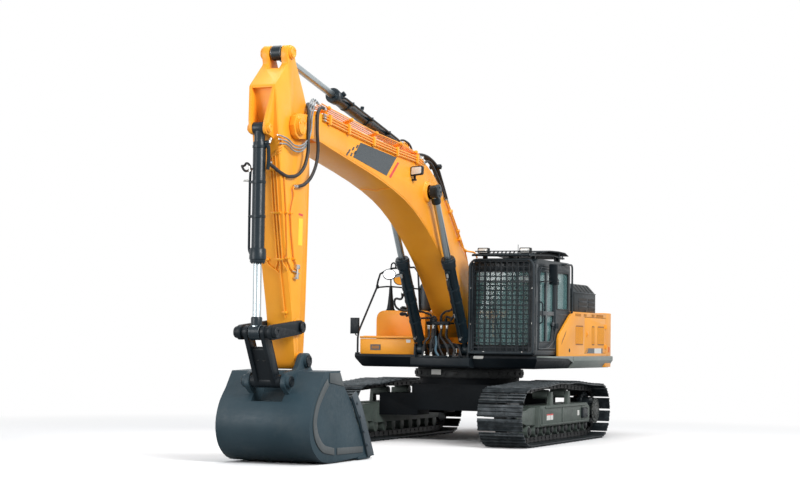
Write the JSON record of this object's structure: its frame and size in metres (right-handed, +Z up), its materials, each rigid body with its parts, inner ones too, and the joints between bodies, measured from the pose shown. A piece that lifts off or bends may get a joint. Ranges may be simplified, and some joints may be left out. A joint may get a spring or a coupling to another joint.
{
  "type": "crawler excavator",
  "caption": "Crawler excavator with tracks, slewing upper body, glazed cab behind a mesh guard, long boom, arm and digging bucket moved by hydraulic cylinders.",
  "frame": {"origin": "on the ground under the middle of the bounding box; the swing axis stands 2.30 m behind it", "axes": "+Z up, -Y to the front of the machine where the boom points, +X to its left side with the cab"},
  "size_m": [3.6, 11.8873, 5.66],
  "materials": {
    "yellow_paint": "glossy orange-yellow machine paint",
    "black_paint": "satin black machine paint",
    "cab_paint": "satin charcoal paint of the cab",
    "bucket_steel": "matt dark grey-blue paint on plate",
    "track_steel": "blackened steel of shoes and wheels",
    "frame_paint": "grey-green paint of the track frames",
    "cylinder_paint": "satin blue-black paint of the cylinders",
    "chrome_rod": "hard chrome plating",
    "cab_glass": "lightly tinted safety glass",
    "seat_cloth": "black woven seat cloth",
    "seat_plastic": "textured dark grey plastic",
    "mirror_glass": "mirror glass",
    "engine_iron": "grey engine enamel",
    "hose_rubber": "black hydraulic hose",
    "zinc_fitting": "bright plated pipe fittings",
    "lamp_glass": "clear lamp lens",
    "seal_rubber": "window and door seals",
    "decal_film": "blank printed film"
  },
  "bodies": {
    "root": {"left_track": "track_steel", "right_track": "track_steel", "left_track_frame": "frame_paint", "right_track_frame": "frame_paint", "left_idler": "track_steel", "right_idler": "track_steel", "left_sprocket": "track_steel", "right_sprocket": "track_steel", "car_body": "black_paint", "swing_bearing": "black_paint"},
    "house": {"platform": "black_paint", "counterweight": "yellow_paint", "engine_block": "engine_iron", "rear_cowl": "yellow_paint", "fuel_tank": "yellow_paint", "tool_box": "yellow_paint", "handrails": "black_paint", "right_mirror": "black_paint", "cab_shell": "cab_paint", "cab_floor": "black_paint", "cab_guard": "black_paint", "roof_visor": "black_paint", "windscreen": "cab_glass", "rear_window": "cab_glass", "right_window": "cab_glass", "quarter_window": "cab_glass", "seat_frame": "seat_plastic", "seat_cushion": "seat_cloth", "seat_back": "seat_cloth"},
    "cab_door": {"cab_door": "cab_paint", "door_window": "cab_glass"},
    "engine_hood": {"engine_hood": "cab_paint"},
    "left_cowl_door": {"left_cowl_door": "yellow_paint"},
    "right_cowl_door": {"right_cowl_door": "yellow_paint"},
    "tool_box_lid": {"tool_box_lid": "yellow_paint"},
    "boom": {"boom": "yellow_paint"},
    "arm": {"arm": "yellow_paint"},
    "bucket": {"bucket": "bucket_steel"},
    "rocker": {"rocker_links": "black_paint"},
    "bucket_link": {"bucket_link": "black_paint"},
    "boom_barrels": {"left_boom_barrel": "cylinder_paint", "right_boom_barrel": "cylinder_paint"},
    "boom_rods": {"left_boom_rod": "chrome_rod", "right_boom_rod": "chrome_rod"},
    "arm_barrel": {"arm_barrel": "cylinder_paint"},
    "arm_rod": {"arm_rod": "chrome_rod"},
    "bucket_barrel": {"bucket_barrel": "cylinder_paint"},
    "bucket_rod": {"bucket_rod": "chrome_rod"}
  },
  "joints": [
    {"name": "swing", "type": "hinge", "parent": "root", "child": "house", "pos_m": [0, 2.3036, 1.2], "axis": [0, 0, 1], "continuous": true},
    {"name": "boom_lift", "type": "hinge", "parent": "house", "child": "boom", "pos_m": [0, 1.8036, 1.95], "axis": [-1, 0, 0], "range_deg": [-36, 32]},
    {"name": "arm_swing", "type": "hinge", "parent": "boom", "child": "arm", "pos_m": [0, -5.1764, 4.57], "axis": [-1, 0, 0], "range_deg": [-30, 62]},
    {"name": "bucket_curl", "type": "hinge", "parent": "arm", "child": "bucket", "pos_m": [0, -4.9164, 1.38], "axis": [-1, 0, 0], "range_deg": [-65, 58]},
    {"name": "cab_door_hinge", "type": "hinge", "parent": "house", "child": "cab_door", "pos_m": [1.645, 2.1186, 2.3], "axis": [0, 0, 1], "range_deg": [0, 165]},
    {"name": "engine_hood_hinge", "type": "hinge", "parent": "house", "child": "engine_hood", "pos_m": [0.25, 4.9836, 2.236], "axis": [-1, 0, 0], "range_deg": [0, 70]},
    {"name": "left_cowl_door_hinge", "type": "hinge", "parent": "house", "child": "left_cowl_door", "pos_m": [1.664, 4.9636, 1.8], "axis": [0, 0, 1], "range_deg": [0, 100]},
    {"name": "right_cowl_door_hinge", "type": "hinge", "parent": "house", "child": "right_cowl_door", "pos_m": [-1.664, 4.9636, 1.8], "axis": [0, 0, -1], "range_deg": [0, 100]},
    {"name": "tool_box_lid_hinge", "type": "hinge", "parent": "house", "child": "tool_box_lid", "pos_m": [-1.025, 1.6776, 1.74], "axis": [-1, 0, 0], "range_deg": [0, 75]},
    {"name": "boom_barrels_tilt", "type": "hinge", "parent": "house", "child": "boom_barrels", "pos_m": [0, 1.0536, 1.54], "axis": [-1, 0, 0], "range_deg": [-36.65, 32.58]},
    {"name": "boom_rods_slide", "type": "slide", "parent": "boom_barrels", "child": "boom_rods", "axis": [0, -0.5188, 0.8549], "range_m": [-0.514, 0.457]},
    {"name": "arm_barrel_tilt", "type": "hinge", "parent": "boom", "child": "arm_barrel", "pos_m": [0, -0.9464, 4.712], "axis": [-1, 0, 0], "range_deg": [-0.061, 0.125]},
    {"name": "arm_rod_slide", "type": "slide", "parent": "arm_barrel", "child": "arm_rod", "axis": [0, -0.9817, 0.1905], "range_m": [-1.024, 0.496]},
    {"name": "bucket_barrel_tilt", "type": "hinge", "parent": "arm", "child": "bucket_barrel", "pos_m": [0, -5.8364, 4.48], "axis": [-1, 0, 0], "range_deg": [-1.16, 1.3]},
    {"name": "bucket_rod_slide", "type": "slide", "parent": "bucket_barrel", "child": "bucket_rod", "axis": [0, -0.0018, -1], "range_m": [-0.565, 0.634]},
    {"name": "rocker_turn", "type": "hinge", "parent": "arm", "child": "rocker", "pos_m": [0, -4.9964, 1.84], "axis": [-1, 0, 0], "range_deg": [-46.12, 41.15]},
    {"name": "bucket_link_turn", "type": "hinge", "parent": "rocker", "child": "bucket_link", "pos_m": [0, -5.8414, 1.76], "axis": [-1, 0, 0], "range_deg": [-23.39, 26.21]}
  ],
  "couplings": [
    {"joint": "boom_barrels_tilt", "follows": "boom_lift", "ratio": 1.018},
    {"joint": "boom_rods_slide", "follows": "boom_lift", "m_per_rad": 0.8156},
    {"joint": "arm_barrel_tilt", "follows": "arm_swing", "ratio": 0.002},
    {"joint": "arm_rod_slide", "follows": "arm_swing", "m_per_rad": -0.9449},
    {"joint": "bucket_barrel_tilt", "follows": "bucket_curl", "ratio": -0.02},
    {"joint": "bucket_rod_slide", "follows": "bucket_curl", "m_per_rad": -0.5571},
    {"joint": "rocker_turn", "follows": "bucket_curl", "ratio": 0.7095},
    {"joint": "bucket_link_turn", "follows": "bucket_curl", "ratio": -0.4032}
  ]
}
